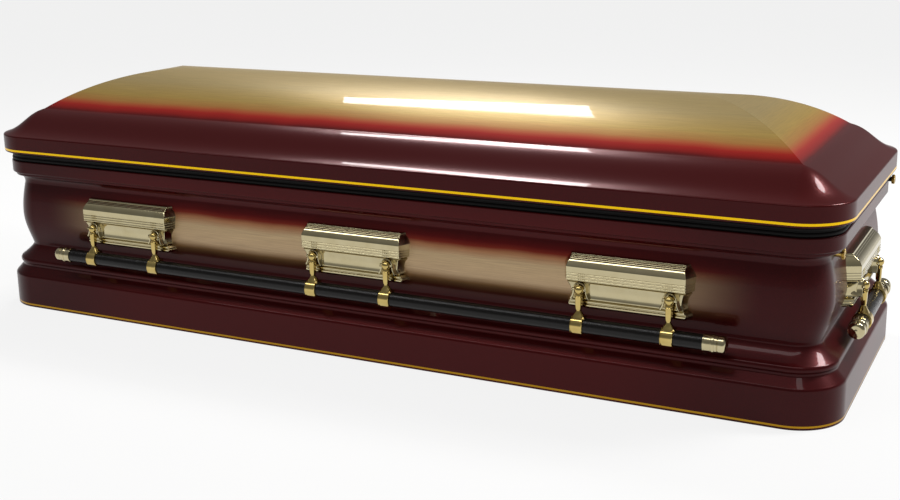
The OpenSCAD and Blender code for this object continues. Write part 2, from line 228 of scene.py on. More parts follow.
    # the thin gold line round the foot of the rim or plinth; the plinth's line is drawn darker than the rim's,
    # as painted shade near the floor
    bottom, top = lacquer["lidStripe"] if isLid else lacquer["bodyStripe"]
    over = addNode(tree, "ShaderNodeMath", {"operation": "GREATER_THAN", 1: bottom * mm},
                   {0: axes.outputs["Z"]})
    under = addNode(tree, "ShaderNodeMath", {"operation": "LESS_THAN", 1: top * mm}, {0: axes.outputs["Z"]})
    line = addNode(tree, "ShaderNodeMath", {"operation": "MULTIPLY"}, {0: over.outputs[0], 1: under.outputs[0]})
    lineColor = hexColor(lacquer["pinstripe" if isLid else "plinthStripeInShade"])
    painted = addNode(tree, "ShaderNodeMix", {"data_type": "RGBA", 7: lineColor},
                      {0: line.outputs[0], 6: brushed.outputs[0]})
    least, most = lacquer["lidMetal"] if isLid else lacquer["bodyMetal"]
    sheen = addNode(tree, "ShaderNodeMapRange", {"To Min": least, "To Max": most}, {"Value": shown})
    metal = addNode(tree, "ShaderNodeMix", {"data_type": "FLOAT", 3: lacquer["stripeMetal"]},
                    {0: line.outputs[0], 2: sheen.outputs[0]})
    smooth, scuffed = lacquer["roughness"]
    rough = addNode(tree, "ShaderNodeMapRange", {"To Min": smooth, "To Max": scuffed}, {"Value": shown})
    peel = addNode(tree, "ShaderNodeTexNoise", {"Scale": 1 / (lacquer["peelSize"] * mm), "Detail": 1},
                   {"Vector": place})
    wave = addNode(tree, "ShaderNodeBump",
                   {"Strength": lacquer["peelStrength"], "Distance": lacquer["peelDepth"] * mm},
                   {"Height": peel.outputs[0]})
    coated = addNode(tree, "ShaderNodeBsdfPrincipled",
                     {"Specular IOR Level": lacquer["specular"], "Coat Weight": lacquer["coat"],
                      "Coat Roughness": lacquer["coatRoughness"], "Coat IOR": lacquer["coatIor"]},
                     {"Base Color": painted.outputs[2], "Metallic": metal.outputs[0],
                      "Roughness": rough.outputs[0], "Coat Normal": wave.outputs[0]})
    tree.links.new(coated.outputs[0], surface)
    return material


rubber = {
    "dark": "#060606", "bloom": "#0e0d0d", "roughness": 0.55, "specular": 0.12,
    "poreSize": 1.2, "poreDepth": 0.4, "poreStrength": 0.25,   # real pores are finer, drawn so that they show
}


# Pressed EPDM rubber, matt with a faint dusty bloom.
def rubberMaterial():
    material, tree, place, surface = newMaterial("pressedRubber")
    bloom = addNode(tree, "ShaderNodeTexNoise", {"Scale": 60, "Detail": 5}, {"Vector": place})
    tone = addNode(tree, "ShaderNodeMix", {"data_type": "RGBA", 6: hexColor(rubber["dark"]),
                                           7: hexColor(rubber["bloom"])}, {0: bloom.outputs[0]})
    grain = addNode(tree, "ShaderNodeTexNoise", {"Scale": 1 / (rubber["poreSize"] * mm), "Detail": 2},
                    {"Vector": place})
    pores = addNode(tree, "ShaderNodeBump",
                    {"Strength": rubber["poreStrength"], "Distance": rubber["poreDepth"] * mm},
                    {"Height": grain.outputs[0]})
    shader = addNode(tree, "ShaderNodeBsdfPrincipled",
                     {"Roughness": rubber["roughness"], "Specular IOR Level": rubber["specular"]},
                     {"Base Color": tone.outputs[2], "Normal": pores.outputs[0]})
    tree.links.new(shader.outputs[0], surface)
    return material


# sizes of the drift in tone, of the haze and of the waves that hand polishing leaves
plate = {"cloud": 30, "smear": 12, "swell": 25, "swellDepth": 1, "swellStrength": 0.12}


# Electroplated casting, polished by hand: a bright mirror with slow waves and a little haze.
def plateMaterial(name, pale, warm, haze):
    material, tree, place, surface = newMaterial(name)
    cloud = addNode(tree, "ShaderNodeTexNoise", {"Scale": 1 / (plate["cloud"] * mm), "Detail": 3},
                    {"Vector": place})
    tone = addNode(tree, "ShaderNodeMix", {"data_type": "RGBA", 6: hexColor(pale), 7: hexColor(warm)},
                   {0: cloud.outputs[0]})
    smear = addNode(tree, "ShaderNodeTexNoise", {"Scale": 1 / (plate["smear"] * mm), "Detail": 4},
                    {"Vector": place})
    rough = addNode(tree, "ShaderNodeMapRange", {"To Min": haze[0], "To Max": haze[1]},
                    {"Value": smear.outputs[0]})
    swell = addNode(tree, "ShaderNodeTexNoise", {"Scale": 1 / (plate["swell"] * mm), "Detail": 1},
                    {"Vector": place})
    waves = addNode(tree, "ShaderNodeBump",
                    {"Strength": plate["swellStrength"], "Distance": plate["swellDepth"] * mm},
                    {"Height": swell.outputs[0]})
    shader = addNode(tree, "ShaderNodeBsdfPrincipled", {"Metallic": 1.0},
                     {"Base Color": tone.outputs[2], "Roughness": rough.outputs[0], "Normal": waves.outputs[0]})
    tree.links.new(shader.outputs[0], surface)
    return material


wrap = {
    "valleyShade": "#070606", "pebble": "#191614", "roughness": 0.17, "specular": 0.26,
    "pebbleSize": 2.2,              # pebbles of the embossing, drawn a little coarser than the real 1.2 mm
    "embossDepth": 0.3, "embossStrength": 0.3,
}


# Steel tube in a black vinyl wrap embossed like leather, satin with a narrow sheen on top; the valleys between
# the pebbles are drawn darker as painted shade.
def wrapMaterial():
    material, tree, place, surface = newMaterial("embossedVinyl")
    pebble = addNode(tree, "ShaderNodeTexVoronoi",
                     {"Scale": 1 / (wrap["pebbleSize"] * mm), "feature": "DISTANCE_TO_EDGE"}, {"Vector": place})
    raised = addNode(tree, "ShaderNodeMapRange", {"From Max": 0.25}, {"Value": pebble.outputs[0]})
    # the valleys between the pebbles get a darker colour: painted shade
    tone = addNode(tree, "ShaderNodeMix", {"data_type": "RGBA", 6: hexColor(wrap["valleyShade"]),
                                           7: hexColor(wrap["pebble"])}, {0: raised.outputs[0]})
    emboss = addNode(tree, "ShaderNodeBump",
                     {"Strength": wrap["embossStrength"], "Distance": wrap["embossDepth"] * mm},
                     {"Height": raised.outputs[0]})
    shader = addNode(tree, "ShaderNodeBsdfPrincipled",
                     {"Roughness": wrap["roughness"], "Specular IOR Level": wrap["specular"]},
                     {"Base Color": tone.outputs[2], "Normal": emboss.outputs[0]})
    tree.links.new(shader.outputs[0], surface)
    return material


lidLacquer = lacquerMaterial("sprayedLidLacquer", lacquer["crownSpray"], True)
bodyLacquer = lacquerMaterial("sprayedBodyLacquer", lacquer["bodySpray"], False)
pressedRubber = rubberMaterial()
earPlate = plateMaterial("paleGoldPlate", "#c6bc9a", "#b3a67f", (0.04, 0.13))
armPlate = plateMaterial("brassPlate", "#ccb878", "#b59a58", (0.04, 0.12))
capBrass = plateMaterial("turnedBrass", "#cdb064", "#a8873f", (0.18, 0.34))
embossedVinyl = wrapMaterial()
neckBlack = plateMaterial("oxidisedSteel", "#1d1b1a", "#121110", (0.3, 0.45))
print("materials made")


# ---- mesh helpers ----

# Part of an ellipse between two angles in degrees
def arc(middle, radii, start, end, steps):
    angles = [math.radians(start + (end - start) * i / steps) for i in range(steps + 1)]
    return [(middle[0] + radii[0] * math.cos(a), middle[1] + radii[1] * math.sin(a)) for a in angles]


# A curve that leaves start towards the knee and arrives at end from it; start itself is left out
def bend(start, knee, end, steps):
    shares = [i / steps for i in range(1, steps + 1)]
    return [tuple((1 - t) ** 2 * s + 2 * t * (1 - t) * k + t * t * e for s, k, e in zip(start, knee, end))
            for t in shares]


weld = 2000     # points that agree to a 2000th of a millimetre become one


def newShape():
    return {"points": [], "lookup": {}, "faces": [], "normals": [], "finish": []}


def addFace(shape, corners, normals=None, finish=0):
    face, kept = [], []
    for i, corner in enumerate(corners):
        key = tuple(round(v * weld) for v in corner)
        if key not in shape["lookup"]:
            shape["lookup"][key] = len(shape["points"])
            shape["points"].append(corner)
        point = shape["lookup"][key]
        if point not in face:
            face.append(point)
            kept.append(normals[i] if normals else None)
    if len(face) > 2:
        shape["faces"].append(face)
        shape["normals"].extend(kept)
        shape["finish"].append(finish)


# Turns a finished shape into an object that rides on a body and stands for CAD nodes
def makePiece(name, shape, materials, body, nodes, sharpAngle=None):
    mesh = bpy.data.meshes.new(name)
    mesh.from_pydata([[v * mm for v in p] for p in shape["points"]], [], shape["faces"])
    mesh.polygons.foreach_set("use_smooth", [True] * len(mesh.polygons))
    mesh.polygons.foreach_set("material_index", shape["finish"])
    for material in materials:
        mesh.materials.append(material)
    if sharpAngle is None:
        mesh.normals_split_custom_set(shape["normals"])
    else:
        mesh.set_sharp_from_angle(angle=math.radians(sharpAngle))
    piece = bpy.data.objects.new(name, mesh)
    bpy.context.scene.collection.objects.link(piece)
    if sharpAngle is not None:
        even = piece.modifiers.new("evenShading", "WEIGHTED_NORMAL")
        even.keep_sharp = True
    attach(piece, body)
    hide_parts(*nodes)


# ---- mouldings swept round the plan ----

# A point of the plan: how far inside the rim face, which corner, and the share of its quarter turn
def planPoint(inset, corner, share):
    angle = math.radians(90 * (corner + share))
    reach = max(plan["cornerRadius"], inset)
    radius = max(0.0, plan["cornerRadius"] - inset)
    x = (1 if corner in (0, 3) else -1) * (plan["halfLength"] - reach)
    y = (1 if corner in (0, 1) else -1) * (plan["halfWidth"] - reach)
    return x + radius * math.cos(angle), y + radius * math.sin(angle), math.cos(angle), math.sin(angle)


# The steps round the plan, corner by corner
def planStations():
    steps = plan["cornerSteps"]
    return [(corner, i / steps) for corner in range(4) for i in range(steps + 1)]


# The outward direction at both ends of each step of a path, as (outwards, up)
def pathNormals(path, closed, limit=26):
    count = len(path)
    steps = range(count if closed else count - 1)
    flat, size = [], []
    for i in steps:
        (a, b), (c, d) = path[i], path[(i + 1) % count]
        length = math.hypot(c - a, d - b)
        flat.append(((d - b) / length, (c - a) / length))
        size.append(length)

    def shared(i, j):
        if not closed and not (0 <= j < len(flat)):
            return flat[i]
        j %= len(flat)
        if flat[i][0] * flat[j][0] + flat[i][1] * flat[j][1] < math.cos(math.radians(limit)):
            return flat[i]
        out = flat[i][0] * size[i] + flat[j][0] * size[j]
        up = flat[i][1] * size[i] + flat[j][1] * size[j]
        length = math.hypot(out, up)
        return out / length, up / length

    return [(shared(i, i - 1), shared(i, i + 1)) for i in steps]


# Sweeps a path of (inset, z) all round the plan
def sweepPlan(shape, path, closed):
    normals = pathNormals(path, closed)
    stations = planStations()
    for i, (first, second) in enumerate(normals):
        (insetA, zA), (insetB, zB) = path[i], path[(i + 1) % len(path)]
        for k, station in enumerate(stations):
            after = stations[(k + 1) % len(stations)]
            corners, facing = [], []
            for (inset, z), normal, at in (((insetA, zA), first, station), ((insetA, zA), first, after),
                                           ((insetB, zB), second, after), ((insetB, zB), second, station)):
                x, y, dx, dy = planPoint(inset, *at)
                corners.append((x, y, z))
                facing.append((dx * normal[0], dy * normal[0], normal[1]))
            addFace(shape, corners, facing)


# Closes the plan flat at one inset and height
def capPlan(shape, inset, z, up):
    ring = [planPoint(inset, *at)[:2] + (z,) for at in planStations()]
    addFace(shape, ring if up else ring[::-1], [(0, 0, 1 if up else -1)] * len(ring))


# Moves a path inwards by the sheet's thickness, mitred at each point
def innerPath(path, thickness):
    moved = []
    for i in range(len(path)):
        normals = []
        for j in (max(i - 1, 0), min(i, len(path) - 2)):
            (a, b), (c, d) = path[j], path[j + 1]
            length = math.hypot(c - a, d - b)
            normals.append(Vector(((d - b) / length, -(c - a) / length)))
        middle = (normals[0] + normals[1]).normalized()
        shift = middle * (thickness / middle.dot(normals[1]))
        moved.append((path[i][0] + shift[0], path[i][1] + shift[1]))
    return moved


# Rounds each crease of a path that turns by more than a set angle
def soften(path, reach, limit=18):
    made = [path[0]]
    for before, point, after in zip(path, path[1:], path[2:]):
        back, on = Vector(before) - Vector(point), Vector(after) - Vector(point)
        turn = math.degrees(math.pi - back.angle(on))
        if turn < limit:
            made.append(point)
            continue
        start = Vector(point) + back.normalized() * min(reach, back.length * 0.45)
        end = Vector(point) + on.normalized() * min(reach, on.length * 0.45)
        made += [tuple(start)] + bend(tuple(start), point, tuple(end), 4)
    return made + [path[-1]]


bodyShell = {
    "sheet": 1.2, "floor": 1.6, "foot": 2,
    "plinth": 78, "plinthEdge": 9, "bevelInset": 20, "bevelTop": 103,
    "beadInset": 15, "bead": 9, "beadZ": 116,
    "waistInset": 50, "waistZ": 154, "bellyInset": 30.5, "bellyZ": 238, "neckInset": 42, "neckZ": 319,
    "bellyEase": 1.15, "waistKnee": (3, 10), "coveHeight": 20,
    "stepInset": 23, "stepZ": 339, "flangeInset": 15, "flangeZ": 347, "edgeRound": 3, "flangeRound": 4,
    "top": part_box("body_shell")[1].z / mm, "mouthInset": 52, "lip": 22, "lipRound": 1.5, "soft": 2.2,
}


# The swelling side, from the waist over the belly to the neck
def bellyCurve(steps):
    b = bodyShell
    rise, neckRise = b["bellyZ"] - b["waistZ"], b["neckZ"] - b["bellyZ"]
    quarter = [(i, math.pi / 2 * i / steps) for i in range(1, steps + 1)]
    lower = [(b["waistInset"] - (b["waistInset"] - b["bellyInset"]) * math.sin(a) ** b["bellyEase"],
              b["waistZ"] + rise * i / steps) for i, a in quarter]
    upper = [(b["bellyInset"] + (b["neckInset"] - b["bellyInset"]) * (1 - math.cos(a)),
              b["bellyZ"] + neckRise * i / steps) for i, a in quarter]
    return lower + upper


# Inset of the swelling side at a height
def wallInset(z):
    curve = [(bodyShell["waistInset"], bodyShell["waistZ"])] + bellyCurve(18)
    for (a, b), (c, d) in zip(curve, curve[1:]):
        if b <= z <= d:
            return a + (c - a) * (z - b) / (d - b)
    return curve[0][0] if z < curve[0][1] else curve[-1][0]


# Outside of the body from the plinth's edge up to its mouth; fine multiplies the steps of every curve
def bodyOutline(fine):
    b = bodyShell
    small, flange = b["edgeRound"], b["flangeRound"]
    bead = arc((b["beadInset"] + b["bead"], b["beadZ"]), (b["bead"], b["bead"]), 235, 115, 8 * fine)
    waist = (b["waistInset"], b["waistZ"])
    knee = (waist[0] - b["waistKnee"][0], waist[1] - b["waistKnee"][1])
    cove = (b["neckInset"] - b["stepInset"] - small, b["coveHeight"])
    return (arc((b["plinthEdge"], b["plinth"]), (b["plinthEdge"], b["plinthEdge"]), 180, 130, 5 * fine)
            + [(b["bevelInset"], b["bevelTop"])] + bead
            + bend(bead[-1], knee, waist, 6 * fine)
            + bellyCurve(9 * fine)
            + arc((b["stepInset"] + small, b["neckZ"]), cove, 15, 90, 6 * fine)
            + arc((b["stepInset"] + small, b["stepZ"] + small), (small, small), 240, 180, 3 * fine)
            + [(b["stepInset"], b["flangeZ"])]
            + arc((b["flangeInset"] + flange, b["flangeZ"] + flange), (flange, flange), 270, 180, 4 * fine)
            + arc((b["flangeInset"] + small, b["top"] - small), (small, small), 180, 90, 3 * fine))


# One sheet: up the outside, over the lip, down the inside to the floor, and closed below by the pan
def makeBody():
    b = bodyShell
    shape = newShape()
    foot = arc((b["foot"], b["foot"]), (b["foot"], b["foot"]), 270, 180, 4)
    mouth, top, sheet, turn = b["mouthInset"], b["top"], b["sheet"], b["lipRound"]
    outer = soften(foot + bodyOutline(2) + [(mouth, top)], b["soft"])
    lip = arc((mouth - turn, top - turn), (turn, turn), 90, 0, 3)
    lip += [(mouth, top - b["lip"]), (mouth - sheet, top - b["lip"]), (mouth - sheet, top - sheet)]
    inner = innerPath([(0, 0)] + bodyOutline(1) + [(mouth, top)], sheet)[1:-1]
    path = outer[:-1] + lip + inner[::-1] + [(sheet, b["floor"])]
    sweepPlan(shape, path, closed=False)
    capPlan(shape, *path[0], up=False)
    capPlan(shape, *path[-1], up=True)
    makePiece("bodyShell", shape, [bodyLacquer], "root", ["body_shell"])


gasket = {
    "inset": 16.5, "width": 17, "bottom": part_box("gasket")[0].z / mm, "top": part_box("gasket")[1].z / mm,
}


# Two ribs outside, flat within
def makeGasket():
    shape = newShape()
    rib = (gasket["top"] - gasket["bottom"]) / 4
    inset, inside = gasket["inset"], gasket["inset"] + gasket["width"]
    path = [(inset + rib / 2, gasket["bottom"])]
    for k in (0, 1):
        path += arc((inset + rib, gasket["bottom"] + rib * (2 * k + 1)), (rib, rib), 235, 125, 8)
    path += [(inset + rib / 2, gasket["top"]), (inside, gasket["top"]), (inside, gasket["bottom"])]
    sweepPlan(shape, path, closed=True)
    makePiece("pressedGasket", shape, [pressedRubber], "root", ["gasket"])


lid = {
    "sheet": 1.2, "rimZ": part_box("lid")[0].z / mm, "rimTop": 445, "edge": 4, "hem": 38,
    "ogeeRise": 58, "ogeeEase": 0.45, "crownHalf": 258, "crownRadius": 430, "top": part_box("lid")[1].z / mm,
    "soft": 5, "softLimit": 14,
}


# Height of the ogee between rim and crown at an inset
def ogeeZ(inset):
    u = inset / plan["cornerRadius"]
    return lid["rimTop"] + lid["ogeeRise"] * (u - lid["ogeeEase"] * math.sin(2 * math.pi * u) / (2 * math.pi))


# Outside of the lid from its rim up to the ridge
def lidOutline(fine):
    edge, corner, reach = lid["edge"], plan["cornerRadius"], lid["crownRadius"]
    ogee = [edge + (corner - edge) * i / (14 * fine) for i in range(1, 14 * fine + 1)]
    first = math.degrees(math.acos(lid["crownHalf"] / reach))
    crown = arc((corner + lid["crownHalf"], lid["top"] - reach), (-reach, reach), first, 90, 14 * fine)
    return (arc((edge, ogeeZ(edge) - edge), (edge, edge), 180, 105, 4 * fine)
            + [(d, ogeeZ(d)) for d in ogee] + crown[1:])


# One sheet with a hem turned in along the rim; its four panels meet at mitres
def makeLid():
    shape = newShape()
    sheet, rimZ, hem = lid["sheet"], lid["rimZ"], lid["hem"]
    outer = soften([(hem, rimZ), (0, rimZ)] + lidOutline(2), lid["soft"], lid["softLimit"])
    inner = innerPath([(0, rimZ)] + lidOutline(1), sheet)[1:]
    inner[-1] = (inner[-1][0], lid["top"] - sheet)
    ridge = plan["halfWidth"]
    outer[-1], inner[-1] = (ridge, outer[-1][1]), (ridge, inner[-1][1])
    sweepPlan(shape, outer, closed=False)
    sweepPlan(shape, inner[::-1] + [(sheet, rimZ + sheet), (hem, rimZ + sheet), (hem, rimZ)], closed=False)
    makePiece("domeLid", shape, [lidLacquer], "root", ["lid"])


makeBody()
makeGasket()
makeLid()
print("body, gasket and lid made")


# ---- sides ----

sides = ["front", "right", "back", "left"]
castingCrease = 32      # creases of the castings sharper than this many degrees stay crisp


# From a side's own axes (along, inset from the rim plane, up) to the frame
def onSide(side, point):
    turn = math.radians(90 * sides.index(side))
    reach = plan["halfWidth"] if side in ("front", "back") else plan["halfLength"]
    x, y = point[0], point[1] - reach
    return (x * math.cos(turn) - y * math.sin(turn), x * math.sin(turn) + y * math.cos(turn), point[2])


# Joins closed or open rings of points, each with as many points, into a skin with capped ends
def loft(shape, rings, place=lambda p: p, finish=0, caps=True):
    for lower, upper in zip(rings, rings[1:]):
        for i in range(len(lower)):
            j = (i + 1) % len(lower)
            addFace(shape, [place(p) for p in (lower[i], lower[j], upper[j], upper[i])], finish=finish)
    if caps:
        addFace(shape, [place(p) for p in rings[0][::-1]], finish=finish)
        addFace(shape, [place(p) for p in rings[-1]], finish=finish)


# A turned form: a profile of (radius, distance along the axis) about X, Y or Z through a middle
def turned(shape, profile, middle, axis, place=lambda p: p, steps=32, finish=0):
    rings = []
    for radius, along in profile:
        ring = []
        for i in range(steps):
            a = 2 * math.pi * i / steps
            around = (radius * math.cos(a), radius * math.sin(a))
            point = {"x": (along, *around), "y": (around[1], along, around[0]), "z": (*around, along)}[axis]
            ring.append(tuple(m + p for m, p in zip(middle, point)))
        rings.append(ring)
    loft(shape, rings, place, finish)


pivot = {"inset": 1.0, "z": 230.1}
bar = {"drop": 75, "armX": 95, "earPitch": 641, "longHalf": 856, "endHalf": 180}

ear = {
    "face": 4.5, "half": 126, "up": 70, "down": 42, "edge": 2.4, "edgeSteps": 4, "flare": 0.5, "bedded": 0.5,
    "soft": 0.7, "softLimit": 20,           # every crease over the limit in degrees is rounded this much
    # side view from the top down, as (behind the face, above the pivot)
    "bevel": [(20, 70), (18.6, 67), (19, 66.4), (15.5, 64.9), (15, 63.8), (12, 62.4), (11.4, 61.4), (8, 59),
              (4.5, 54.8), (1.2, 48.6), (0, 46)],
    "fluteTops": (34, 28.5, 22.5), "flute": [(0, 0), (0.9, -0.8), (0.9, -1.8), (0, -2.6)],
    "groove": [(0, 17.6), (9, 17.2), (9, 14), (3.5, 13.4)],
    "hollow": [(3.5, 13.4), (12.5, -3), (7, -19.5)],
    "foot": [(7, -21.5), (18, -22.2), (18, -24.8), (13, -25.4), (11.5, -27.4), (11.5, -30.4), (14.5, -31.6),
             (14.5, -33.4), (12, -34.8), (12, -38), (15, -42)],
    # right edge from the top down, as (in from the widest, above the pivot)
    "shoulder": [(5, 70), (4, 62), (0, 48), (0, 17)], "flank": [(0, 17), (10, 2), (11, -20)],
    "heel": [(1, -31), (1, -36), (4, -42)],
    # raised ticks across the flutes, and how far they run over the first and under the last
    "ticks": 4, "tickPitch": 4.2, "tickWidth": 1.6, "tickX": 92, "tickUp": 0.6, "tickSpan": (0.8, 3.8),
    # arch of a hood and, below it, its leg as (outwards, above the pivot)
    "hoodRadius": 12.9, "hoodLeg": [(6.5, -20.5), (3, -15), (0.8, -9), (0, -4)],
    # section of a hood: outwards from its middle line, and inset
    "hood": [(-2, 22), (-2, 4.4), (-1.4, 3.2), (0, 2.4), (1.2, 2.8), (2, 4), (2.4, 6.5), (3.2, 10), (5, 14),
             (8, 18), (9, 22)],
    # half of the headed pin, as (radius, along), and how far behind the pivot it sits
    "pin": [(0, 16.4), (2.2, 16.2), (3.6, 15.2), (3.6, 14), (2.6, 13.6)], "pinBack": 1.2,
}


# Side view of an ear from its top down, as (inset, z)
def earSection():
    f, p = ear["face"], pivot["z"]

    def placed(points):
        return [(f + back, p + up) for back, up in points]

    top, bottom = p + ear["up"], p - ear["down"]
    path = [(wallInset(top) + 1, top)] + placed(ear["bevel"])
    for fluteTop in ear["fluteTops"]:
        path += [(f + back, p + fluteTop + down) for back, down in ear["flute"]]
    path += placed(ear["groove"]) + bend(*placed(ear["hollow"]), 16) + placed(ear["foot"])
    path.append((wallInset(bottom) + 1, bottom))
    return soften(path, ear["soft"], ear["softLimit"])


# Half the width of an ear at a height
def earHalf(z):
    w, p = ear["half"], pivot["z"]
    shoulder, flank, heel = ([(w - back, p + up) for back, up in ear[k]] for k in ("shoulder", "flank", "heel"))
    edge = shoulder + bend(*flank, 10) + heel
    for (a, b), (c, d) in zip(edge, edge[1:]):
        if d <= z <= b:
            return a + (c - a) * (b - z) / (b - d)
    return edge[0][0] if z > edge[0][1] else edge[-1][0]


def makeEar(side, number, x):
    shape = newShape()

    def place(point):
        return onSide(side, (point[0] + x, point[1], point[2]))

    # one row of the casting across its width: rounded at both ends and closed at the wall
    rows = []
    for inset, z in earSection():
        half, wall = earHalf(z), max(wallInset(z), inset)
        edge = min(ear["edge"], 0.8 * (wall - inset))
        turns = [math.radians(90 * i / ear["edgeSteps"]) for i in range(ear["edgeSteps"] + 1)]
        right = [(half - edge + edge * math.sin(t), inset + edge * (1 - math.cos(t)), z) for t in turns]
        left = [(-a, b, c) for a, b, c in right][::-1]
        broad = half + ear["flare"] * (wall - inset - edge)     # the flanks spread towards the wall
        back = wall + ear["bedded"]
        rows.append(left + right + [(broad, back, z), (-broad, back, z)])
    loft(shape, rows[::-1], place)
    p = pivot["z"]
    for s in (-1, 1):
        # raised ticks across the flutes near each end
        for k in range(ear["ticks"]):
            at = s * (ear["tickX"] + (k - (ear["ticks"] - 1) / 2) * ear["tickPitch"])
            over, under = ear["tickSpan"]
            top, low = p + ear["fluteTops"][0] + over, p + ear["fluteTops"][-1] - under
            wide, f, rise = ear["tickWidth"] / 2, ear["face"], ear["tickUp"]
            foot = [(at - wide, f + 2, low), (at + wide, f + 2, low), (at + wide, f + 2, top),
                    (at - wide, f + 2, top)]
            head = [(at - wide * 0.3, f - rise, low + 1), (at + wide * 0.3, f - rise, low + 1),
                    (at + wide * 0.3, f - rise, top - 1), (at - wide * 0.3, f - rise, top - 1)]
            loft(shape, [foot, head], place)
        # hood round the back of the ball: an arch whose legs spread out below, with the pin through them
        r = ear["hoodRadius"]
        leg = ear["hoodLeg"]
        spine = [(-r - out, up) for out, up in leg] + arc((0, 0), (r, r), 180, 0, 20)
        spine += [(r + out, up) for out, up in leg[::-1]]
        rings = []
        for k, (x0, z0) in enumerate(spine):
            before, after = spine[max(k - 1, 0)], spine[min(k + 1, len(spine) - 1)]
            run = Vector((after[0] - before[0], after[1] - before[1])).normalized()
            rings.append([(s * bar["armX"] + x0 - run.y * out, inset, p + z0 + run.x * out)
                          for out, inset in ear["hood"]])
        loft(shape, rings, place)
        middle = (s * bar["armX"], pivot["inset"] + ear["pinBack"], p)
        turned(shape, [(r, -along) for r, along in ear["pin"]] + ear["pin"][::-1], middle, "x", place, 24)
    makePiece(f"{side}Ear{number}", shape, [earPlate], "root",
              [f"{side}_ear_{number}"], castingCrease)


arm = {
    "ball": 9.8, "shank": 6.4,
    # collar under the ball, as (radius, height)
    "collar": [(0, -15), (6.4, -15), (7.4, -14.2), (7.6, -13.2), (6.9, -12.4), (7.8, -11.4), (7.6, -9.4),
               (6.2, -7.4), (0, -7)],
    # shank from the collar down: wider than the shank along and across, height, squareness
    "shankRows": [(0.4, 0.4, -14, 5), (0, 0, -17, 5), (-0.2, -0.2, -30, 5), (-0.6, -0.6, -39, 4),
                  (-1.6, -1.2, -42.5, 2.6), (-1.7, -1.3, -43.5, 2.4), (-0.6, -0.4, -46, 2.4),
                  (1, 0.6, -48.5, 2.4), (3, 1.6, -51, 2.4), (5, 3.4, -54, 2.5), (6.3, 5, -57, 2.6),
                  (6.8, 6.8, -61, 2.6)],
    "strapRadius": 20.1, "strapHalf": 13.5, "strapInner": 16.2, "strapSteps": 48,
    "strapEdge": (0.9, 1.4, 0.2),           # bevel of its edges: along, down at the side, down on top
    "band": 2.6, "bandLow": 0.5,            # thin band beside the broad one, and how much lower it lies
    "notch": 6.5, "notchAt": 150, "notchSpread": 26,   # where the broad band draws in, in degrees
    # clamping screw, as (radius, along), and its place in from the strap's right edge and outside
    "screw": [(0, -9.2), (1.4, -9), (2.6, -7.8), (2.9, -6.4), (2.6, -5), (2.1, -4), (2.1, 11.4), (1.5, 12.2),
              (0, 12.4)],
    "screwIn": (1.2, 3.1),
}


# Ring between a circle (power 2) and a square (high power), at one height
def squareRing(halfX, halfY, z, power, steps=32):
    ring = []
    for i in range(steps):
        a = 2 * math.pi * i / steps
        c, s = math.cos(a), math.sin(a)
        ring.append((halfX * math.copysign(abs(c) ** (2 / power), c),
                     halfY * math.copysign(abs(s) ** (2 / power), s), z))
    return ring


def makeArm(side, number, x):
    shape = newShape()

    def place(point):
        return onSide(side, (point[0] + x, point[1] + pivot["inset"], point[2] + pivot["z"]))

    origin, r, drop = (0, 0, 0), arm["ball"], bar["drop"]
    turns = [math.radians(180 - a) for a in range(22, 181, 8)]
    ball = [(r * math.sin(a), r * math.cos(a)) for a in turns]
    turned(shape, [(0, ball[0][1])] + ball + [(0, r)], origin, "z", place)
    turned(shape, arm["collar"], origin, "z", place)
    # shank with flat faces and rounded corners, pinched above the bell over the strap
    a = arm["shank"]
    rings = [squareRing(a + along, a + across, z, power) for along, across, z, power in arm["shankRows"]]
    loft(shape, rings[::-1], place)
    # strap round the bar: a thin band on the left, and a broad one that slants away from it below
    half, outer, innerR, band = arm["strapHalf"], arm["strapRadius"], arm["strapInner"], arm["band"]
    count, (bevel, sideDrop, topDrop) = arm["strapSteps"], arm["strapEdge"]
    for isBroad in (True, False):
        strap = []
        low = 0 if isBroad else arm["bandLow"]
        for i in range(count + 1):
            t = 2 * math.pi * i / count
            if isBroad:
                slant = math.exp(-((math.degrees(t) - arm["notchAt"]) / arm["notchSpread"]) ** 2)
                left, right = -half + band * 0.6 + arm["notch"] * slant, half - 0.8
            else:
                left, right = -half, -half + band
            sideR, topR = outer - sideDrop - low, outer - topDrop - low
            ring = [(left, innerR), (left, sideR), (left + bevel, topR), (right - bevel, topR),
                    (right, sideR), (right, innerR)]
            strap.append([(along, -radius * math.sin(t), -drop + radius * math.cos(t))
                          for along, radius in ring])
        loft(shape, strap[::-1], place, caps=False)
    screwEdge, screwDeep = arm["screwIn"]
    turned(shape, arm["screw"], (half - screwEdge, 0, -drop + outer - screwDeep), "y", place, 24)
    makePiece(f"{side}Arm{number}", shape, [armPlate], f"{side}_handle",
              [f"{side}_arm_{number}"], castingCrease)


tip = {
    "length": 48, "radius": 17.7, "bore": 16.1, "endWall": 12,
    # turned outside from the bar outwards, as (over the radius, along)
    "rim": [(-0.2, 0), (0.7, 0.8), (0.7, 2.4), (0, 3.2), (0, 14), (0.4, 15)],
    "bead": (1.6, 3.6), "beadAt": 20,
    "groove": [(0, 26), (0, 29), (-1.2, 29.8), (-1.2, 31), (0, 31.8)],
    "dome": (8, 7.4), "domeAt": 9,
}


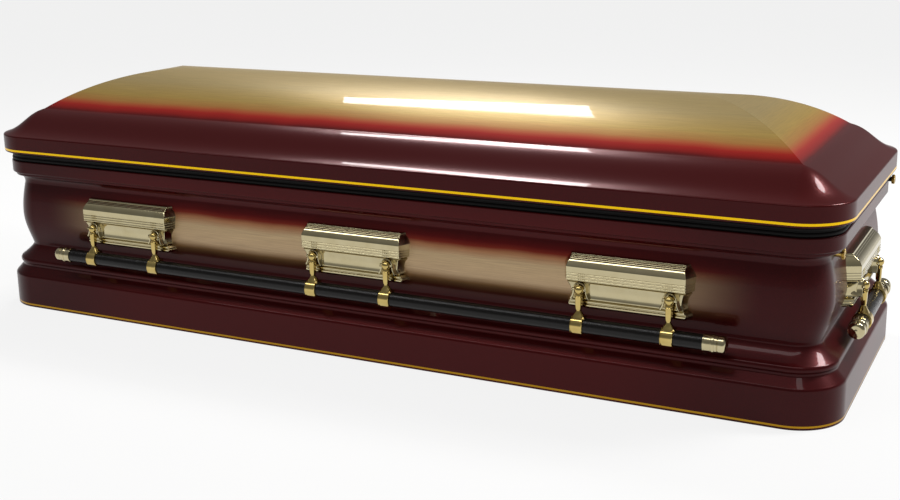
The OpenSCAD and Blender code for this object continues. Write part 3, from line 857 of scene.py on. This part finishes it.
def makeTip(side, number, end):
    shape = newShape()
    r, length, bore = tip["radius"], tip["length"], tip["bore"]
    sign = -1 if number == 1 else 1
    # up the bore, then back outside from the bar outwards
    skin = [(0, length - tip["endWall"]), (bore, length - tip["endWall"]), (bore, 0)]
    skin += [(r + over, along) for over, along in tip["rim"]]
    skin += [(r + over, along) for over, along in arc((0, tip["beadAt"]), tip["bead"], -90, 90, 8)]
    skin += [(r + over, along) for over, along in tip["groove"]]
    skin += arc((r - tip["dome"][0], length - tip["domeAt"]), tip["dome"], 0, 84, 9)
    skin += [(5, length - 1.2), (3, length), (0, length)]
    start = end - length

    def place(point):
        along, inset, z = point
        return onSide(side, (sign * (start + along), inset + pivot["inset"], z + pivot["z"] - bar["drop"]))

    turned(shape, skin if sign > 0 else skin[::-1], (0, 0, 0), "x", place, 40)
    makePiece(f"{side}Tip{number}", shape, [earPlate], f"{side}_handle",
              [f"{side}_tip_{number}"], castingCrease)


cap = {
    "radius": 10.5, "disc": 7, "y": 239, "teeth": 28, "toothDeep": 0.9,
    "tubeStart": 1026, "tubeNeck": 7, "tubeZ": 329, "plugStart": 1049, "plugNeck": 5.5, "plugZ": 385,
}


# Knurled cap on its neck, turned about X from the wall outwards
def makeCap(name, node, start, end, neck, y, z, neckFinish):
    shape = newShape()
    r, deep, first = cap["radius"], cap["toothDeep"], end - cap["disc"]
    turned(shape, [(0, start), (neck, start), (neck, first + 0.5), (0, first + 0.5)], (0, y, z), "x",
           steps=24, finish=neckFinish)
    # (radius, along, share of the knurling)
    profile = [(0, first, 0), (r - 2, first, 0), (r, first + 1, 1), (r, end - 1.2, 1), (r - 1.6, end - 0.2, 0),
               (r - 3, end, 0), (r - 3.6, end - 0.6, 0), (3, end - 0.6, 0), (0, end - 0.6, 0)]
    rings = []
    count = cap["teeth"] * 4
    for wide, along, knurl in profile:
        ring = []
        for i in range(count):
            a = 2 * math.pi * i / count
            radius = max(0, wide - knurl * deep * (1 if i % 4 < 2 else 0))
            ring.append((along, y + radius * math.cos(a), z + radius * math.sin(a)))
        rings.append(ring)
    loft(shape, rings)
    makePiece(name, shape, [capBrass, neckBlack], "root", [node], castingCrease)


for side in sides:
    long = side in ("front", "back")
    middles = [-bar["earPitch"], 0, bar["earPitch"]] if long else [0]
    for number, x in enumerate(middles, 1):
        makeEar(side, number, x)
    for number, x in enumerate([m + s * bar["armX"] for m in middles for s in (-1, 1)], 1):
        makeArm(side, number, x)
    for number in (1, 2):
        makeTip(side, number, bar["longHalf"] if long else bar["endHalf"])
    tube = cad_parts[f"{side}_bar"]
    tube.data.materials.clear()
    tube.data.materials.append(embossedVinyl)
makeCap("recordTubeCap", "record_tube_cap", cap["tubeStart"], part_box("record_tube_cap")[1].x / mm,
        cap["tubeNeck"], -cap["y"], cap["tubeZ"], neckFinish=0)
makeCap("lockPlug", "lock_plug", cap["plugStart"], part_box("lock_plug")[1].x / mm,
        cap["plugNeck"], cap["y"], cap["plugZ"], neckFinish=1)
print("ears, arms, tips and caps made")


# ---- floor, lights and surroundings ----

studio = {
    "floorSize": 60, "floorColor": "#d2d1cf", "floorMottle": "#cdccca", "floorRoughness": 0.9,
    "floorLift": 0.84,      # share of white that the eye and mirrors see in the floor
    # grey of the surroundings by height, from level with the floor to straight up
    "sky": [(0.0, 0.6), (0.06, 0.42), (0.2, 0.22), (0.5, 0.2), (0.8, 0.34), (1.0, 0.45)],
    "glows": {"opalCover": 28, "bareTube": 56, "dimPanel": 5},
    # ceiling lamps as four corners at one height: near left, near right, far right, far left
    "lampHeight": 2.6, "tubes": 3,
    "panel": [(-2.4, -1.5), (2.0, -1.4), (2.0, -1.0), (-2.4, -1.0)],
    "lamps": {
        "ceilingLamp": [(-1.58, 1.08), (-0.38, 1.13), (-0.63, 2.04), (-1.73, 1.49)],
        "ceilingLampRight": [(1.9, 0.5), (3.5, 0.85), (3.4, 1.9), (1.9, 1.1)],
    },
}


def makeFloor():
    half = studio["floorSize"] / 2
    mesh = bpy.data.meshes.new("studioFloor")
    corners = [(-half, -half, 0), (half, -half, 0), (half, half, 0), (-half, half, 0)]
    mesh.from_pydata(corners, [], [(0, 1, 2, 3)])
    floor = bpy.data.objects.new("studioFloor", mesh)
    bpy.context.scene.collection.objects.link(floor)
    material, tree, place, surface = newMaterial("paintedFloor")
    mottle = addNode(tree, "ShaderNodeTexNoise", {"Scale": 3, "Detail": 3}, {"Vector": place})
    tone = addNode(tree, "ShaderNodeMix", {"data_type": "RGBA", 6: hexColor(studio["floorColor"]),
                                           7: hexColor(studio["floorMottle"])}, {0: mottle.outputs[0]})
    shader = addNode(tree, "ShaderNodeBsdfPrincipled",
                     {"Roughness": studio["floorRoughness"], "Specular IOR Level": 0.1},
                     {"Base Color": tone.outputs[2]})
    # the eye, and mirrors, see the floor lifted towards white; it lights the casket at its plain level
    path = addNode(tree, "ShaderNodeLightPath")
    seen = addNode(tree, "ShaderNodeMath", {"operation": "MAXIMUM"},
                   {0: path.outputs["Is Camera Ray"], 1: path.outputs["Is Glossy Ray"]})
    through = addNode(tree, "ShaderNodeMath", {"operation": "MAXIMUM"},
                      {0: seen.outputs[0], 1: path.outputs["Is Transmission Ray"]})
    lift = addNode(tree, "ShaderNodeMath", {"operation": "MULTIPLY", 1: studio["floorLift"]},
                   {0: through.outputs[0]})
    white = addNode(tree, "ShaderNodeEmission", {"Strength": 1.0, "Color": (1, 1, 1, 1)})
    lifted = addNode(tree, "ShaderNodeMixShader",
                     links={0: lift.outputs[0], 1: shader.outputs[0], 2: white.outputs[0]})
    tree.links.new(lifted.outputs[0], surface)
    mesh.materials.append(material)


# Plain grey surroundings that give the lacquer and plating something to mirror
def makeWorld():
    world = bpy.data.worlds.new("studioWorld")
    bpy.context.scene.world = world
    world.use_nodes = True
    tree = world.node_tree
    tree.nodes.clear()
    place = addNode(tree, "ShaderNodeTexCoord")
    axes = addNode(tree, "ShaderNodeSeparateXYZ", links={0: place.outputs["Generated"]})
    ramp = addNode(tree, "ShaderNodeValToRGB", links={0: axes.outputs["Z"]})
    fillRamp(ramp, studio["sky"])
    shine = addNode(tree, "ShaderNodeBackground", {"Strength": 1.0}, {"Color": ramp.outputs[0]})
    addNode(tree, "ShaderNodeOutputWorld", links={"Surface": shine.outputs[0]})


# A flat lamp in bands between its near and far edges, which take the glows in turn
def makeLamp(name, corners, glows, bands):
    nearLeft, nearRight, farRight, farLeft = [Vector((x, y, studio["lampHeight"])) for x, y in corners]
    points = []
    for k in range(bands + 1):
        points += [nearLeft.lerp(farLeft, k / bands), nearRight.lerp(farRight, k / bands)]
    mesh = bpy.data.meshes.new(name)
    mesh.from_pydata(points, [], [(2 * k, 2 * k + 2, 2 * k + 3, 2 * k + 1) for k in range(bands)])
    for glow in glows:
        mesh.materials.append(glow)
    for k, face in enumerate(mesh.polygons):
        face.material_index = k % len(glows)
    lamp = bpy.data.objects.new(name, mesh)
    lamp.visible_camera = False
    bpy.context.scene.collection.objects.link(lamp)


# Ceiling lamps with bright tubes behind an opal cover, and a dim panel towards the front
def makeLights():
    glows = []
    for name, strength in studio["glows"].items():
        material, tree, place, surface = newMaterial(name)
        glow = addNode(tree, "ShaderNodeEmission", {"Color": (1, 1, 1, 1), "Strength": strength})
        tree.links.new(glow.outputs[0], surface)
        glows.append(material)
    for name, corners in studio["lamps"].items():
        makeLamp(name, corners, glows[:2], 2 * studio["tubes"] + 1)
    makeLamp("frontPanel", studio["panel"], glows[2:], 1)


makeFloor()
makeWorld()
makeLights()
bpy.context.scene.view_settings.view_transform = "Standard"
print("studio made")
